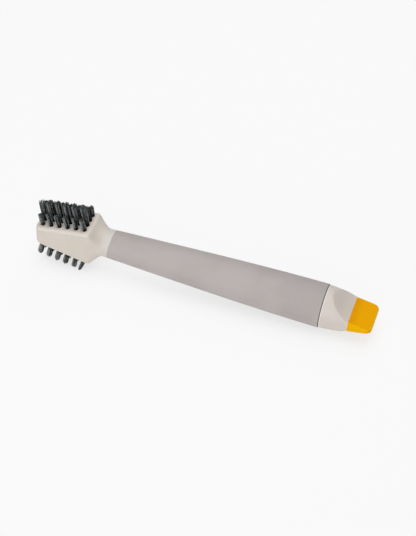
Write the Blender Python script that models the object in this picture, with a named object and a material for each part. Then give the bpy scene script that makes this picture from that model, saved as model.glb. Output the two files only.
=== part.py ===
"""A double-sided detailing brush with a scraper at the other end, lying at rest.

The brush is modelled along its own long axis, in metres. On that axis x = 0 is the seam between
the neck and the grip, the bristle head lies at negative x and the scraper at positive x. All
pieces hang on one empty, which tips the brush until the short bristles under the head and the
thick end of the grip both touch the floor.
"""

import math
import random

import bmesh
import bpy
from mathutils import Matrix, Vector

# Head block, a wedge that thickens towards the neck
HEAD_LENGTH = 0.0317
HEAD_WIDTH = 0.0202
HEAD_TOE_HEIGHT = 0.0128
HEAD_HEEL_HEIGHT = 0.0248
HEAD_EDGE_RADIUS = 0.0020
HEAD_TOE_CORNER_RADIUS = 0.0040

# Neck, which turns the block into the round handle
SHOULDER_LENGTH = 0.0098
NECK_LENGTH = 0.0030
NECK_RADIUS = 0.00845

# Bristle tufts, in blind holes on both faces of the head
TUFT_COLUMNS = 6
TUFT_ROWS = 4
TUFT_TOE_MARGIN = 0.0042
TUFT_HEEL_MARGIN = 0.0017
UPPER_SIDE_MARGIN = 0.0038
LOWER_SIDE_MARGIN = 0.0031
UPPER_ROW_1_LENGTH = 0.0080
UPPER_ROW_2_LENGTH = 0.0141
UPPER_ROW_3_LENGTH = 0.0101
UPPER_ROW_4_LENGTH = 0.0068
LOWER_LENGTH = 0.0093
TUFT_RADIUS = 0.00112
TUFT_ROOT_SINK = 0.0006
STRANDS_PER_TUFT = 8
STRAND_GAP = 0.00010
HEAD_WEB = 0.0044
FLOOR_CUT = 0.0005
REST_LEAN = 0.0014
SPLAY_SHARE = 0.03
LENGTH_JITTER_SHARE = 0.022
TIP_WIDTH_SHARE = 0.95
TUFT_SEED = 11

# Soft grip, a sleeve that swells towards its rear end
GRIP_LENGTH = 0.1283
GRIP_FRONT_RADIUS = 0.00855
GRIP_REAR_RADIUS = 0.01280
GRIP_WALL = 0.0020
GRIP_RIM = 0.0003
GRIP_FRONT_FLARE_SHARE = 0.0415
GRIP_REAR_FLARE_SHARE = 0.004
SEAM_SLANT = math.radians(6.0)
SEAM_FADE = 0.0080

# Hollow core inside the grip
CORE_WALL = 0.0020
CORE_FLOOR = 0.0080
SPIGOT_LENGTH = 0.0150

# End cap, a round plug with two flat facets
CAP_GAP = 0.00035
CAP_LENGTH = 0.0160
CAP_FRONT_RADIUS = 0.01255
CAP_REAR_RADIUS = 0.01095
CAP_FRONT_FLARE_SHARE = -0.055
CAP_REAR_FLARE_SHARE = -0.130
CAP_RIM = 0.0003
CAP_LIP_HEIGHT = 0.0072
CAP_WALL = 0.0018
CAP_WEB = 0.0030
FACET_SETBACK = 0.0037

# Scraper blade, a wedge with a tongue that is held in the cap
BLADE_LENGTH = 0.01345
BLADE_ROOT_WIDTH = 0.0219
BLADE_TIP_WIDTH = 0.0210
BLADE_TIP_THICKNESS = 0.0020
BLADE_CORNER_RADIUS = 0.0033
BLADE_EDGE_RADIUS = 0.0005
BLADE_TIP_EDGE_RADIUS = 0.0006
TONGUE_LENGTH = 0.0080
TONGUE_WIDTH = 0.0140
TONGUE_THICKNESS = 0.0028

# Fit and resolution
FIT = 0.0003
WELD = 0.000001
CUT_OVERRUN = 0.0010
SIDE_STEPS = 3
CORNER_STEPS = 4
FACE_STEPS = 3
RING_STEPS = 4 * (SIDE_STEPS + CORNER_STEPS + FACE_STEPS)
SHOULDER_STEPS = 8
GRIP_STEPS = 12
CORE_STEPS = 6
CAP_STEPS = 9
ROUNDING_STEPS = 4
HOLE_STEPS = 12

# Places along the axis
SHOULDER_X = -(NECK_LENGTH + SHOULDER_LENGTH)
TOE_X = SHOULDER_X - HEAD_LENGTH
CAP_X = GRIP_LENGTH + CAP_GAP
LIP_X = CAP_X + CAP_LENGTH
BLADE_X = LIP_X + FIT
TIP_X = BLADE_X + BLADE_LENGTH

HALF_WIDTH = HEAD_WIDTH / 2
FACE_SLOPE = (HEAD_HEEL_HEIGHT - HEAD_TOE_HEIGHT) / 2 / HEAD_LENGTH
FACE_ANGLE = math.atan(FACE_SLOPE)
HOLE_RADIUS = TUFT_RADIUS + FIT
BORE_RADIUS = GRIP_REAR_RADIUS - GRIP_WALL - FIT - CORE_WALL
SPIGOT_RADIUS = BORE_RADIUS - FIT


def clear_scene():
    for thing in list(bpy.data.objects):
        bpy.data.objects.remove(thing)


def plastic(name, colour, roughness):
    """A plain moulded finish, with its colour given as linear red, green and blue."""
    finish = bpy.data.materials.new(name)
    finish.use_nodes = True
    shader = finish.node_tree.nodes["Principled BSDF"]
    shader.inputs["Base Color"].default_value = (*colour, 1.0)
    shader.inputs["Roughness"].default_value = roughness
    shader.inputs["Metallic"].default_value = 0.0
    return finish


def add_piece(name, shape, finish, parent, smooth_angle=math.radians(35)):
    """Turn a bmesh into an object that hangs on the brush axis."""
    bmesh.ops.recalc_face_normals(shape, faces=shape.faces)
    mesh = bpy.data.meshes.new(name)
    shape.to_mesh(mesh)
    shape.free()
    mesh.materials.append(finish)
    mesh.shade_smooth()
    mesh.set_sharp_from_angle(angle=smooth_angle)
    piece = bpy.data.objects.new(name, mesh)
    piece.parent = parent
    bpy.context.scene.collection.objects.link(piece)
    return piece


def make_cutter(piece):
    piece.hide_render = True
    piece.display_type = "WIRE"
    return piece


def cut_away(piece, cutter):
    cut = piece.modifiers.new(cutter.name, "BOOLEAN")
    cut.operation = "DIFFERENCE"
    cut.solver = "EXACT"
    cut.object = cutter


def eased(start, end, start_slope, end_slope, length, along):
    """A radius that leaves start and reaches end with the given slopes, along a length."""
    share = along / length
    rest = 1 - share
    return (
        start * rest * rest * (1 + 2 * share)
        + end * share * share * (3 - 2 * share)
        + length * share * rest * (start_slope * rest - end_slope * share)
    )


def grip_radius(x):
    flare = (GRIP_FRONT_FLARE_SHARE, GRIP_REAR_FLARE_SHARE)
    return eased(GRIP_FRONT_RADIUS, GRIP_REAR_RADIUS, *flare, GRIP_LENGTH, x)


def core_radius(x):
    return grip_radius(x) - GRIP_WALL - FIT


def cap_radius(x):
    flare = (CAP_FRONT_FLARE_SHARE, CAP_REAR_FLARE_SHARE)
    return eased(CAP_FRONT_RADIUS, CAP_REAR_RADIUS, *flare, CAP_LENGTH, x - CAP_X)


def half_height(x):
    """Half the thickness of the head block at x."""
    return HEAD_TOE_HEIGHT / 2 + FACE_SLOPE * (x - TOE_X)


def shared_steps(start, end, count):
    return [start + (end - start) * step / count for step in range(count + 1)]


def rounded_section(half_width, half_thickness, corner, crown=0.0):
    """Points (y, z) round a rectangle with round corners, whose sides may bulge by a crown."""
    quarter = []
    for z in shared_steps(0.0, half_thickness - corner, SIDE_STEPS)[:-1]:
        quarter.append((half_width - crown * (z / half_thickness) ** 2, z))
    edge = half_width - crown * ((half_thickness - corner) / half_thickness) ** 2
    for turn in shared_steps(0.0, math.pi / 2, CORNER_STEPS)[:-1]:
        y = edge - corner + corner * math.cos(turn)
        z = half_thickness - corner + corner * math.sin(turn)
        quarter.append((y, z))
    for y in shared_steps(edge - corner, 0.0, FACE_STEPS)[:-1]:
        quarter.append((y, half_thickness))
    upper = quarter + [(0.0, half_thickness)] + [(-y, z) for y, z in reversed(quarter)]
    return upper + [(y, -z) for y, z in reversed(upper[1:-1])]


def round_section(radius):
    angles = [math.tau * step / RING_STEPS for step in range(RING_STEPS)]
    return [(radius * math.cos(angle), radius * math.sin(angle)) for angle in angles]


def blended_section(first, second, share):
    return [(a + (c - a) * share, b + (d - b) * share) for (a, b), (c, d) in zip(first, second)]


def slanted(x, z):
    """Shift x along the seam's slant, which fades out away from the seam."""
    fade = max(0.0, 1 - abs(x) / SEAM_FADE)
    return x + math.tan(SEAM_SLANT) * z * fade


def loft(stations, closed=False):
    """A skin over rings of points. A station is (x, section); a closed loft is a tube wall."""
    shape = bmesh.new()
    rings = []
    for x, section in stations:
        rings.append([shape.verts.new((slanted(x, z), y, z)) for y, z in section])
    pairs = list(zip(rings, rings[1:]))
    if closed:
        pairs.append((rings[-1], rings[0]))
    for first, second in pairs:
        for step in range(RING_STEPS):
            after = (step + 1) % RING_STEPS
            shape.faces.new((first[step], first[after], second[after], second[step]))
    if not closed:
        shape.faces.new(rings[0])
        shape.faces.new(rings[-1])
    return shape


def turned(profile):
    """A solid turned about the x axis from (x, radius) points whose two ends lie on the axis."""
    shape = bmesh.new()
    points = [shape.verts.new((x, 0.0, radius)) for x, radius in profile]
    edges = [shape.edges.new(pair) for pair in zip(points, points[1:])]
    bmesh.ops.spin(
        shape,
        geom=points + edges,
        cent=(0.0, 0.0, 0.0),
        axis=(1.0, 0.0, 0.0),
        angle=math.tau,
        steps=RING_STEPS,
        use_merge=True,
    )
    bmesh.ops.remove_doubles(shape, verts=shape.verts, dist=WELD)
    return shape


def rounding(radius, steps):
    """(distance from the end, depth of rounding) along a quarter round, from the end inwards."""
    turns = shared_steps(0.0, math.pi / 2, steps)
    return [(radius * (1 - math.cos(turn)), radius * (1 - math.sin(turn))) for turn in turns]


def edge_loss(distance, radius):
    """How far a rounded edge has dropped at this distance from the end face."""
    reach = max(0.0, radius - distance)
    return radius - math.sqrt(radius * radius - reach * reach)


def head_stations():
    """Rings from the toe of the block, over the shoulder, to the neck."""
    stations = []
    for distance, narrowing in rounding(HEAD_TOE_CORNER_RADIUS, ROUNDING_STEPS):
        x = TOE_X + distance
        height = half_height(x) - edge_loss(distance, HEAD_EDGE_RADIUS)
        stations.append((x, rounded_section(HALF_WIDTH - narrowing, height, HEAD_EDGE_RADIUS)))
    for x in shared_steps(SHOULDER_X, -NECK_LENGTH, SHOULDER_STEPS):
        share = (x - SHOULDER_X) / SHOULDER_LENGTH
        weight = share * share * (3 - 2 * share)
        block = rounded_section(HALF_WIDTH, half_height(x), HEAD_EDGE_RADIUS)
        stations.append((x, blended_section(block, round_section(NECK_RADIUS), weight)))
    return stations


def core_stations():
    """Rings from the seam, along the core under the grip, and back inside its bore."""
    stations = [(-FIT, round_section(NECK_RADIUS)), (-FIT, round_section(core_radius(0.0)))]
    for x in shared_steps(0.0, GRIP_LENGTH, CORE_STEPS)[1:]:
        stations.append((x, round_section(core_radius(x))))
    socket_x = GRIP_LENGTH - SPIGOT_LENGTH - FIT
    stations.append((GRIP_LENGTH, round_section(BORE_RADIUS)))
    stations.append((socket_x, round_section(BORE_RADIUS)))
    for x in shared_steps(socket_x, CORE_FLOOR, CORE_STEPS)[1:]:
        stations.append((x, round_section(min(BORE_RADIUS, core_radius(x) - CORE_WALL))))
    return stations


def tuft_places(side, side_margin):
    """(row, column, point on the face) for every tuft of one face; side is 1 above, -1 below."""
    first_x = TOE_X + TUFT_TOE_MARGIN
    last_x = SHOULDER_X - TUFT_HEEL_MARGIN
    edge_y = HALF_WIDTH - side_margin
    places = []
    for row, y in enumerate(shared_steps(-edge_y, edge_y, TUFT_ROWS - 1)):
        for column, x in enumerate(shared_steps(first_x, last_x, TUFT_COLUMNS - 1)):
            places.append((row, column, Vector((x, y, side * half_height(x)))))
    return places


def tuft_turn(side):
    """The rotation about y that points a tuft's own z straight out of its face."""
    return -FACE_ANGLE if side > 0 else math.pi + FACE_ANGLE


def hole_depth():
    """Holes from both faces leave a web between them, also at the thin end."""
    return half_height(TOE_X + TUFT_TOE_MARGIN) - HEAD_WEB / 2


def make_body(parent, finish):
    """The one stiff moulding: head, neck and the hollow core that the grip is moulded over."""
    body = add_piece("head_and_core", loft(head_stations() + core_stations()), finish, parent)
    holes = bmesh.new()
    depth = hole_depth()
    length = depth + CUT_OVERRUN
    for side, margin in ((1, UPPER_SIDE_MARGIN), (-1, LOWER_SIDE_MARGIN)):
        turn = Matrix.Rotation(tuft_turn(side), 4, "Y")
        for _, _, place in tuft_places(side, margin):
            sink = Matrix.Translation((0.0, 0.0, length / 2 - depth))
            bmesh.ops.create_cone(
                holes,
                cap_ends=True,
                segments=HOLE_STEPS,
                radius1=HOLE_RADIUS,
                radius2=HOLE_RADIUS,
                depth=length,
                matrix=Matrix.Translation(place) @ turn @ sink,
            )
    cutter = make_cutter(add_piece("tuft_hole_cutter", holes, finish, parent))
    cut_away(body, cutter)
    return body


def make_grip(parent, finish):
    """The soft sleeve, open at both ends, with its wall of even thickness round the core."""
    places = shared_steps(0.0, GRIP_LENGTH - GRIP_RIM, GRIP_STEPS)
    outside = [(x, round_section(grip_radius(x))) for x in places]
    rim = [(GRIP_LENGTH, round_section(grip_radius(GRIP_LENGTH) - GRIP_RIM))]
    inside = [
        (x, round_section(grip_radius(x) - GRIP_WALL))
        for x in reversed(shared_steps(0.0, GRIP_LENGTH, CORE_STEPS))
    ]
    return add_piece("soft_grip", loft(outside + rim + inside, closed=True), finish, parent)


def facet_plane(side):
    """(point, outward normal) of a cap facet; side is 1 above, -1 below."""
    crown_x = CAP_X + FACET_SETBACK
    crown = Vector((crown_x, 0.0, side * cap_radius(crown_x)))
    lip = Vector((LIP_X, 0.0, side * CAP_LIP_HEIGHT / 2))
    fall = lip - crown
    normal = Vector((-side * fall.z, 0.0, side * fall.x))
    return crown, normal.normalized()


def make_cap(parent, finish):
    """The end plug: a turned body cut to two facets, with a cored spigot and a slot for the blade."""
    spigot_x = CAP_X - SPIGOT_LENGTH
    core_end = CAP_X + CAP_WEB - CAP_WALL
    profile = [
        (core_end, 0.0),
        (core_end, SPIGOT_RADIUS - CAP_WALL),
        (spigot_x, SPIGOT_RADIUS - CAP_WALL),
        (spigot_x, SPIGOT_RADIUS - CAP_RIM),
        (spigot_x + CAP_RIM, SPIGOT_RADIUS),
        (CAP_X, SPIGOT_RADIUS),
        (CAP_X, CAP_FRONT_RADIUS - CAP_RIM),
    ]
    profile += [(x, cap_radius(x)) for x in shared_steps(CAP_X + CAP_RIM, LIP_X, CAP_STEPS)]
    profile.append((LIP_X, 0.0))
    shape = turned(profile)
    for side in (1, -1):
        point, normal = facet_plane(side)
        everything = shape.verts[:] + shape.edges[:] + shape.faces[:]
        bmesh.ops.bisect_plane(
            shape, geom=everything, dist=WELD, plane_co=point, plane_no=normal, clear_outer=True
        )
        bmesh.ops.edgeloop_fill(shape, edges=[edge for edge in shape.edges if edge.is_boundary])
    cap = add_piece("end_cap", shape, finish, parent, smooth_angle=math.radians(24))
    slot = bmesh.new()
    depth = TONGUE_LENGTH + FIT
    size = (depth + CUT_OVERRUN, TONGUE_WIDTH + 2 * FIT, TONGUE_THICKNESS + 2 * FIT)
    middle = Vector((LIP_X + CUT_OVERRUN - size[0] / 2, 0.0, 0.0))
    bmesh.ops.create_cube(slot, size=1, matrix=Matrix.Translation(middle) @ Matrix.Diagonal((*size, 1)))
    cutter = make_cutter(add_piece("blade_slot_cutter", slot, finish, parent))
    cut_away(cap, cutter)
    return cap


def blade_section(x, distance, narrowing):
    """The blade's cross-section at x, with what the round corners and edges take off."""
    share = (x - BLADE_X) / BLADE_LENGTH
    half_width = (BLADE_ROOT_WIDTH + (BLADE_TIP_WIDTH - BLADE_ROOT_WIDTH) * share) / 2
    half_thickness = (CAP_LIP_HEIGHT + (BLADE_TIP_THICKNESS - CAP_LIP_HEIGHT) * share) / 2
    crown = half_width - math.sqrt(half_width * half_width - half_thickness * half_thickness)
    half_thickness -= edge_loss(distance, BLADE_TIP_EDGE_RADIUS)
    corner = min(BLADE_EDGE_RADIUS, half_thickness / 2)
    return rounded_section(half_width - narrowing, half_thickness, corner, crown)


def make_blade(parent, finish):
    """The scraper: a hidden tongue, then a wedge that thins to a blade with round corners."""
    corner = TONGUE_THICKNESS / 4
    tongue = rounded_section(TONGUE_WIDTH / 2, TONGUE_THICKNESS / 2, corner)
    stations = [(LIP_X - TONGUE_LENGTH, tongue), (BLADE_X, tongue)]
    stations.append((BLADE_X, blade_section(BLADE_X, BLADE_LENGTH, 0.0)))
    for distance, narrowing in reversed(rounding(BLADE_CORNER_RADIUS, 2 * ROUNDING_STEPS)):
        x = TIP_X - distance
        stations.append((x, blade_section(x, distance, narrowing)))
    return add_piece("scraper_blade", loft(stations), finish, parent)


def floor_plane_on_axis(tilt):
    """(point, upward normal) of the floor, seen from the brush's own axes."""
    rest = Vector((GRIP_LENGTH - GRIP_RIM, 0.0, -grip_radius(GRIP_LENGTH - GRIP_RIM)))
    return rest, Vector((-math.sin(tilt), 0.0, math.cos(tilt)))


def rest_tilt():
    """The angle at which the last lower tufts, cut flat by the floor, and the grip both rest."""
    rest, _ = floor_plane_on_axis(0.0)
    root_x = SHOULDER_X - TUFT_HEEL_MARGIN
    reach = Vector((REST_LEAN, 0.0, LOWER_LENGTH))
    tip = Vector((root_x, 0.0, -half_height(root_x))) + Matrix.Rotation(tuft_turn(-1), 3, "Y") @ reach
    return math.atan2(rest.z - (tip.z + FLOOR_CUT), rest.x - tip.x)


def make_tuft(name, place, side, length, lean, draw, parent, finish, tilt):
    """One bundle: a root plug seated in its hole, and strands that stand on it, splay and may lean."""
    shape = bmesh.new()
    bmesh.ops.create_circle(shape, cap_ends=True, segments=STRANDS_PER_TUFT, radius=TUFT_RADIUS)
    spin = Matrix.Rotation(draw.uniform(0.0, math.tau), 4, "Z")
    drop = Matrix.Translation((0.0, 0.0, FIT - hole_depth()))
    bmesh.ops.transform(shape, matrix=drop @ spin, verts=shape.verts)
    grown = bmesh.ops.extrude_face_region(shape, geom=shape.faces[:])
    top_points = [item for item in grown["geom"] if isinstance(item, bmesh.types.BMVert)]
    top = [item for item in grown["geom"] if isinstance(item, bmesh.types.BMFace)]
    for point in top_points:
        point.co.z = -TUFT_ROOT_SINK
    fan = bmesh.ops.poke(shape, faces=top)["faces"]
    bmesh.ops.inset_individual(shape, faces=fan, thickness=STRAND_GAP / 2, use_even_offset=True)
    strands = bmesh.ops.extrude_discrete_faces(shape, faces=fan)["faces"]
    turn = Matrix.Rotation(tuft_turn(side), 3, "Y")
    floor_point, floor_normal = floor_plane_on_axis(tilt)
    for strand in strands:
        root = strand.calc_center_median()
        outwards = Vector((root.x, root.y, 0.0)).normalized()
        reach = length * (1 + draw.uniform(-LENGTH_JITTER_SHARE, LENGTH_JITTER_SHARE)) + TUFT_ROOT_SINK
        lift = Vector((lean, 0.0, reach)) + outwards * reach * SPLAY_SHARE
        for point in strand.verts:
            point.co = root + (point.co - root) * TIP_WIDTH_SHARE + lift
            depth = (place + turn @ point.co - floor_point).dot(floor_normal)
            if depth < 0.0:
                along = turn @ lift.normalized()
                point.co -= lift.normalized() * (depth / along.dot(floor_normal))
    tuft = add_piece(name, shape, finish, parent)
    tuft.location = place
    tuft.rotation_euler = (0.0, tuft_turn(side), 0.0)
    return tuft


def make_tufts(parent, finish, tilt):
    upper_lengths = (UPPER_ROW_1_LENGTH, UPPER_ROW_2_LENGTH, UPPER_ROW_3_LENGTH, UPPER_ROW_4_LENGTH)
    draw = random.Random(TUFT_SEED)
    for row, column, place in tuft_places(1, UPPER_SIDE_MARGIN):
        name = f"upper_tuft_row{row + 1}_column{column + 1}"
        length = upper_lengths[row % len(upper_lengths)]
        make_tuft(name, place, 1, length, 0.0, draw, parent, finish, tilt)
    for row, column, place in tuft_places(-1, LOWER_SIDE_MARGIN):
        name = f"lower_tuft_row{row + 1}_column{column + 1}"
        lean = REST_LEAN if column == TUFT_COLUMNS - 1 else 0.0
        make_tuft(name, place, -1, LOWER_LENGTH, lean, draw, parent, finish, tilt)


def make_axis(tilt):
    """The empty that carries the brush: tipped by tilt, standing on z = 0, centred on x = 0."""
    axis = bpy.data.objects.new("brush_axis", None)
    bpy.context.scene.collection.objects.link(axis)
    rest, _ = floor_plane_on_axis(tilt)
    toe_z = -(HEAD_TOE_HEIGHT / 2 - HEAD_EDGE_RADIUS)
    toe = TOE_X * math.cos(tilt) + toe_z * math.sin(tilt)
    tip = TIP_X * math.cos(tilt) + (BLADE_TIP_THICKNESS / 2 - BLADE_TIP_EDGE_RADIUS) * math.sin(tilt)
    height = rest.x * math.sin(tilt) - rest.z * math.cos(tilt)
    axis.location = (-(toe + tip) / 2, 0.0, height)
    axis.rotation_euler = (0.0, tilt, 0.0)
    return axis


def main():
    clear_scene()
    ivory = plastic("ivory_plastic", (0.672, 0.616, 0.546), 0.42)
    grey = plastic("grey_soft_grip", (0.462, 0.434, 0.413), 0.62)
    yellow = plastic("yellow_plastic", (0.806, 0.352, 0.002), 0.35)
    charcoal = plastic("charcoal_bristle", (0.040, 0.046, 0.048), 0.45)
    tilt = rest_tilt()
    axis = make_axis(tilt)
    make_body(axis, ivory)
    make_grip(axis, grey)
    make_cap(axis, ivory)
    make_blade(axis, yellow)
    make_tufts(axis, charcoal, tilt)


main()
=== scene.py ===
# %% [markdown]
# # A double-sided detailing brush
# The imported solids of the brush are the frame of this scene: they are the right size and lie in the
# right place, but they are plain. This lesson gives each of them the surface of the real thing. It
# works along the brush from the head to the scraper, and ends with the light, the table and the camera.

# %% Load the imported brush
import math
import random

import bmesh
import bpy
from mathutils import Matrix, Vector


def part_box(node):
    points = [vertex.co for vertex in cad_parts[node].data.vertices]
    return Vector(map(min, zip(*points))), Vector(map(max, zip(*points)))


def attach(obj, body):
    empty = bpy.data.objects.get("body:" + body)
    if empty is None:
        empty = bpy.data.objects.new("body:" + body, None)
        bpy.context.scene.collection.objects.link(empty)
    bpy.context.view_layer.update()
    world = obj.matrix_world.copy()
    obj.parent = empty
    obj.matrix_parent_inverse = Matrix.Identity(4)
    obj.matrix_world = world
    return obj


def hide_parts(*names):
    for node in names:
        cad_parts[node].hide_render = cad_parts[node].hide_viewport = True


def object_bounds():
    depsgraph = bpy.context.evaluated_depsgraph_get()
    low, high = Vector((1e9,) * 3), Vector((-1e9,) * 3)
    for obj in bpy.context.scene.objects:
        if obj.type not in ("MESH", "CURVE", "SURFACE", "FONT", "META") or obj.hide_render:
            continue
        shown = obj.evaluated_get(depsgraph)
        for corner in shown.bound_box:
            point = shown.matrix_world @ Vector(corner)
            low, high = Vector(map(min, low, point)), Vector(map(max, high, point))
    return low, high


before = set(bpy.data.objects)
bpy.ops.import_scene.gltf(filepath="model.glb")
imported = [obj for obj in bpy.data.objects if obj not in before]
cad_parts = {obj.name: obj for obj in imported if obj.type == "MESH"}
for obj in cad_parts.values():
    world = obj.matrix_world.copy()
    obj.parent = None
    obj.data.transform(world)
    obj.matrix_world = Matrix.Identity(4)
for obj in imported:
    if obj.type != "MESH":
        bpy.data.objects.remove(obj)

cad_low, cad_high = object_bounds()
print("solids:", len(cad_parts), "size in mm:", [round(1000 * side, 1) for side in cad_high - cad_low])

# %% [markdown]
# ## The brush's own axis
# A brush is easiest to describe along its handle: x runs from the neck seam at 0 to the scraper, and
# the bristle head lies at negative x. On the table the brush is tipped a little, because the last
# bristles under its head and the thick end of its grip both touch down. Each piece is therefore
# modelled on the straight axis and laid down by one matrix at the end. The place goes into the mesh,
# so every finished object still sits at the origin.

# %% The matrix that lays the brush down
REST_TILT = math.radians(3.01021)
REST_PLACE = Vector((-0.0567664, 0.0, 0.0195029))
LAY_DOWN = Matrix.Translation(REST_PLACE) @ Matrix.Rotation(REST_TILT, 4, "Y")
print("handle tilt:", round(math.degrees(REST_TILT), 2), "degrees")

# %% [markdown]
# ## Sizes
# The same named sizes made the solids. They are repeated here because the finer pieces have to fill
# exactly the same space, only with more points and with the small radii that a mould leaves.

# %% Head and neck
HEAD_LENGTH = 0.0317
HEAD_WIDTH = 0.0202
HEAD_TOE_HEIGHT = 0.0128
HEAD_HEEL_HEIGHT = 0.0248
HEAD_EDGE_RADIUS = 0.0020
HEAD_TOE_CORNER_RADIUS = 0.0040
SHOULDER_LENGTH = 0.0098
NECK_LENGTH = 0.0030
NECK_RADIUS = 0.00845
SHOULDER_X = -(NECK_LENGTH + SHOULDER_LENGTH)
TOE_X = SHOULDER_X - HEAD_LENGTH
FACE_SLOPE = (HEAD_HEEL_HEIGHT - HEAD_TOE_HEIGHT) / 2 / HEAD_LENGTH
FACE_ANGLE = math.atan(FACE_SLOPE)
print("each face slopes by", round(math.degrees(FACE_ANGLE), 1), "degrees")

# %% Tufts
TUFT_COLUMNS = 6
TUFT_ROWS = 4
TUFT_TOE_MARGIN = 0.0042
TUFT_HEEL_MARGIN = 0.0017
UPPER_SIDE_MARGIN = 0.0038
LOWER_SIDE_MARGIN = 0.0031
UPPER_ROW_LENGTHS = (0.0080, 0.0141, 0.0101, 0.0068)
LOWER_LENGTH = 0.0093
REST_LEAN = 0.0014
HOLE_RADIUS = 0.00132
HOLE_DEPTH = 0.0048
print("tufts on both faces:", 2 * TUFT_COLUMNS * TUFT_ROWS)

# %% Grip, cap and scraper
GRIP_LENGTH = 0.1283
GRIP_FRONT_RADIUS = 0.00855
GRIP_REAR_RADIUS = 0.01280
GRIP_WALL = 0.0020
GRIP_RIM = 0.0003
FIT = 0.0003
CAP_GAP = 0.00035
SEAM_SLANT = math.radians(6.0)
SEAM_FADE = 0.0080
CAP_X = GRIP_LENGTH + CAP_GAP
CAP_LENGTH = 0.0160
CAP_FRONT_RADIUS = 0.01255
CAP_REAR_RADIUS = 0.01095
CAP_LIP_HEIGHT = 0.0072
FACET_SETBACK = 0.0041
LIP_X = CAP_X + CAP_LENGTH
BLADE_X = LIP_X + FIT
BLADE_LENGTH = 0.01345
BLADE_ROOT_WIDTH = 0.0219
BLADE_TIP_WIDTH = 0.0210
BLADE_TIP_THICKNESS = 0.0020
BLADE_CORNER_RADIUS = 0.0033
TIP_X = BLADE_X + BLADE_LENGTH
print("length in mm:", round(1000 * (TIP_X - TOE_X), 1))

# %% [markdown]
# ## Curves that the pieces share
# The grip and the cap are turned shapes whose radius eases from one end to the other. A cubic that is
# given its two radii and its two slopes draws such a line with no kink where the pieces meet.

# %% Radii along the handle
GRIP_SLOPES = (0.0415, 0.004)
CAP_SLOPES = (-0.055, -0.130)


def eased(start, end, start_slope, end_slope, length, along):
    """A cubic from start to end that has the given slope at each end."""
    share = along / length
    rest = 1 - share
    return (
        start * rest * rest * (1 + 2 * share)
        + end * share * share * (3 - 2 * share)
        + length * share * rest * (start_slope * rest - end_slope * share)
    )


def grip_radius(x):
    return eased(GRIP_FRONT_RADIUS, GRIP_REAR_RADIUS, *GRIP_SLOPES, GRIP_LENGTH, x)


def cap_radius(x):
    return eased(CAP_FRONT_RADIUS, CAP_REAR_RADIUS, *CAP_SLOPES, CAP_LENGTH, x - CAP_X)


def half_height(x):
    """Half the thickness of the head's block at x, which may also be a shader's signal."""
    return HEAD_TOE_HEIGHT / 2 + FACE_SLOPE * (x - TOE_X)


def steps(start, end, count):
    """Evenly spaced values from start to end, with both of them."""
    return [start + (end - start) * step / count for step in range(count + 1)]


print("grip radius in the middle, mm:", round(1000 * grip_radius(GRIP_LENGTH / 2), 2))

# %% [markdown]
# ## From a bmesh to a piece
# A piece is finished in one place: doubles are merged, the faces are turned outwards, the mesh is laid
# down on the table and shaded smooth except where two faces meet at a real edge.

# %% Finish a piece
MERGE = 0.000001


def finish_piece(name, shape, finish, nodes, sharp=math.radians(30)):
    """Make an object of a bmesh and hide the solids it stands for."""
    bmesh.ops.remove_doubles(shape, verts=shape.verts, dist=MERGE)
    bmesh.ops.recalc_face_normals(shape, faces=shape.faces)
    bmesh.ops.transform(shape, matrix=LAY_DOWN, verts=shape.verts)
    mesh = bpy.data.meshes.new(name)
    shape.to_mesh(mesh)
    shape.free()
    mesh.shade_smooth()
    mesh.set_sharp_from_angle(angle=sharp)
    mesh.materials.append(finish)
    piece = bpy.data.objects.new(name, mesh)
    bpy.context.scene.collection.objects.link(piece)
    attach(piece, "root")
    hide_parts(*nodes)
    return piece


def compare_box(piece, node):
    """Print how far each side of a piece lies from the same side of its solid."""
    low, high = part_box(node)
    places = [vertex.co for vertex in piece.data.vertices]
    gaps = [min(place[axis] for place in places) - low[axis] for axis in range(3)]
    gaps += [max(place[axis] for place in places) - high[axis] for axis in range(3)]
    print(piece.name, "against its solid, mm:", [round(1000 * gap, 2) for gap in gaps])


# %% [markdown]
# ## Writing materials as sums
# A material is a recipe of patterns that are added, scaled and mixed. Written as nodes and links such a
# recipe is long, so one small class wraps a socket: a sum written with it adds the Math nodes. A second
# class holds one material, with a single method that adds any other node.

# %% A socket that can be added and multiplied
class Signal:
    def __init__(self, finish, socket):
        self.finish = finish
        self.socket = socket

    def math(self, operation, *values):
        node = self.finish.tree.nodes.new("ShaderNodeMath")
        node.operation = operation
        for socket, value in zip(node.inputs, values):
            self.finish.feed(socket, value)
        return Signal(self.finish, node.outputs[0])

    def __add__(self, other):
        return self.math("ADD", self, other)

    def __radd__(self, other):
        return self.math("ADD", other, self)

    def __sub__(self, other):
        return self.math("SUBTRACT", self, other)

    def __rsub__(self, other):
        return self.math("SUBTRACT", other, self)

    def __mul__(self, other):
        return self.math("MULTIPLY", self, other)

    def __rmul__(self, other):
        return self.math("MULTIPLY", other, self)

    def __abs__(self):
        return self.math("ABSOLUTE", self)

    def smaller(self, other):
        return self.math("MINIMUM", self, other)

    def larger(self, other):
        return self.math("MAXIMUM", self, other)


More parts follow.
